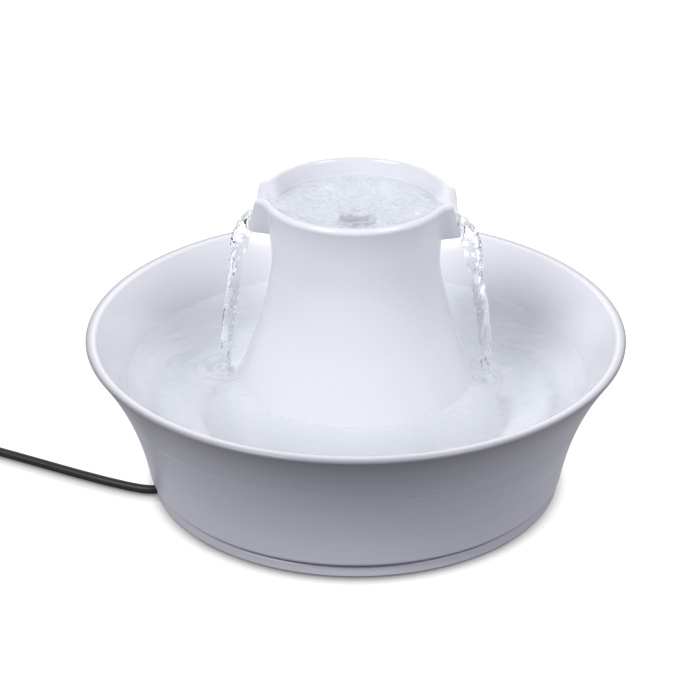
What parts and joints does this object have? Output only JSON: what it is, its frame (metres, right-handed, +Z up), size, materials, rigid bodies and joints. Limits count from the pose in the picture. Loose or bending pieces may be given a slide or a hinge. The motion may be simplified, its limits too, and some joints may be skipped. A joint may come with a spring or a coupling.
{
  "type": "pet water fountain",
  "caption": "Round ceramic pet fountain: flared water bowl with a lift-off tower that pours from two side spouts, pump and filters inside, low-voltage lead.",
  "frame": {"origin": "on the surface it stands on, under the middle of the bowl", "axes": "+Z up, the spouts towards -X and +X, the lead leaving towards -X"},
  "size_m": [0.469, 0.3, 0.173],
  "materials": {
    "ceramic": "clear gloss glaze over white porcelain",
    "rubber_pad": "matt",
    "rubber_black": "satin",
    "lead_jacket": "satin flexible jacket",
    "silicone": "translucent satin",
    "plastic_clear_white": "satin",
    "plastic_pump": "fine texture",
    "plastic_cream": "satin",
    "plastic_dial": "satin",
    "plastic_adaptor": "fine texture",
    "tie_plastic": "satin",
    "resin": "cast",
    "laminations": "stacked sheet",
    "copper_wire": "enamelled winding",
    "bush_rubber": "matt",
    "shaft_ceramic": "ground",
    "magnet": "sintered ferrite",
    "carbon": "granules behind white fleece",
    "foam": "open-cell foam",
    "blade_metal": "nickel-plated"
  },
  "bodies": {
    "base": {"bowl": "ceramic", "foot_pads": "rubber_pad", "cord_seal": "rubber_black", "pump_lead": "lead_jacket", "filter_housing": "plastic_clear_white", "suction_cups": "silicone", "pump_body": "plastic_pump", "pump_back": "plastic_pump", "potting": "resin", "stator_core": "laminations", "stator_bobbin": "plastic_cream", "stator_coil": "copper_wire", "pump_cover": "plastic_pump", "front_bush": "bush_rubber", "rear_bush": "bush_rubber", "impeller_shaft": "shaft_ceramic", "lead_gland": "rubber_black", "riser_tube": "plastic_pump", "cord_run": "lead_jacket", "cord_coil": "lead_jacket", "coil_tie": "tie_plastic", "cord_tail": "lead_jacket", "adaptor_relief": "rubber_black", "adaptor_front": "plastic_adaptor", "adaptor_back": "plastic_adaptor", "adaptor_blades": "blade_metal", "transformer_core": "laminations", "transformer_coil": "copper_wire"},
    "rotor": {"impeller": "plastic_cream", "rotor_magnet": "magnet"},
    "dial": {"flow_dial": "plastic_dial"},
    "cartridge": {"cartridge_frame": "plastic_clear_white", "carbon_pad": "carbon"},
    "foam": {"foam_filter": "foam"},
    "tower": {"tower": "ceramic", "dish_seal": "silicone"}
  },
  "joints": [
    {"name": "tower_lift", "type": "slide", "parent": "base", "child": "tower", "axis": [0, 0, 1], "range_m": [0, 0.18]},
    {"name": "impeller_spin", "type": "hinge", "parent": "base", "child": "rotor", "pos_m": [0, 0, 0.04], "axis": [0, 1, 0], "continuous": true},
    {"name": "dial_turn", "type": "hinge", "parent": "base", "child": "dial", "pos_m": [0, -0.01, 0.04], "axis": [0, 1, 0], "range_deg": [0, 60]},
    {"name": "cartridge_lift", "type": "slide", "parent": "base", "child": "cartridge", "axis": [0, 0, 1], "range_m": [0, 0.036]},
    {"name": "foam_lift", "type": "slide", "parent": "base", "child": "foam", "axis": [0, 0, 1], "range_m": [0, 0.034]}
  ]
}
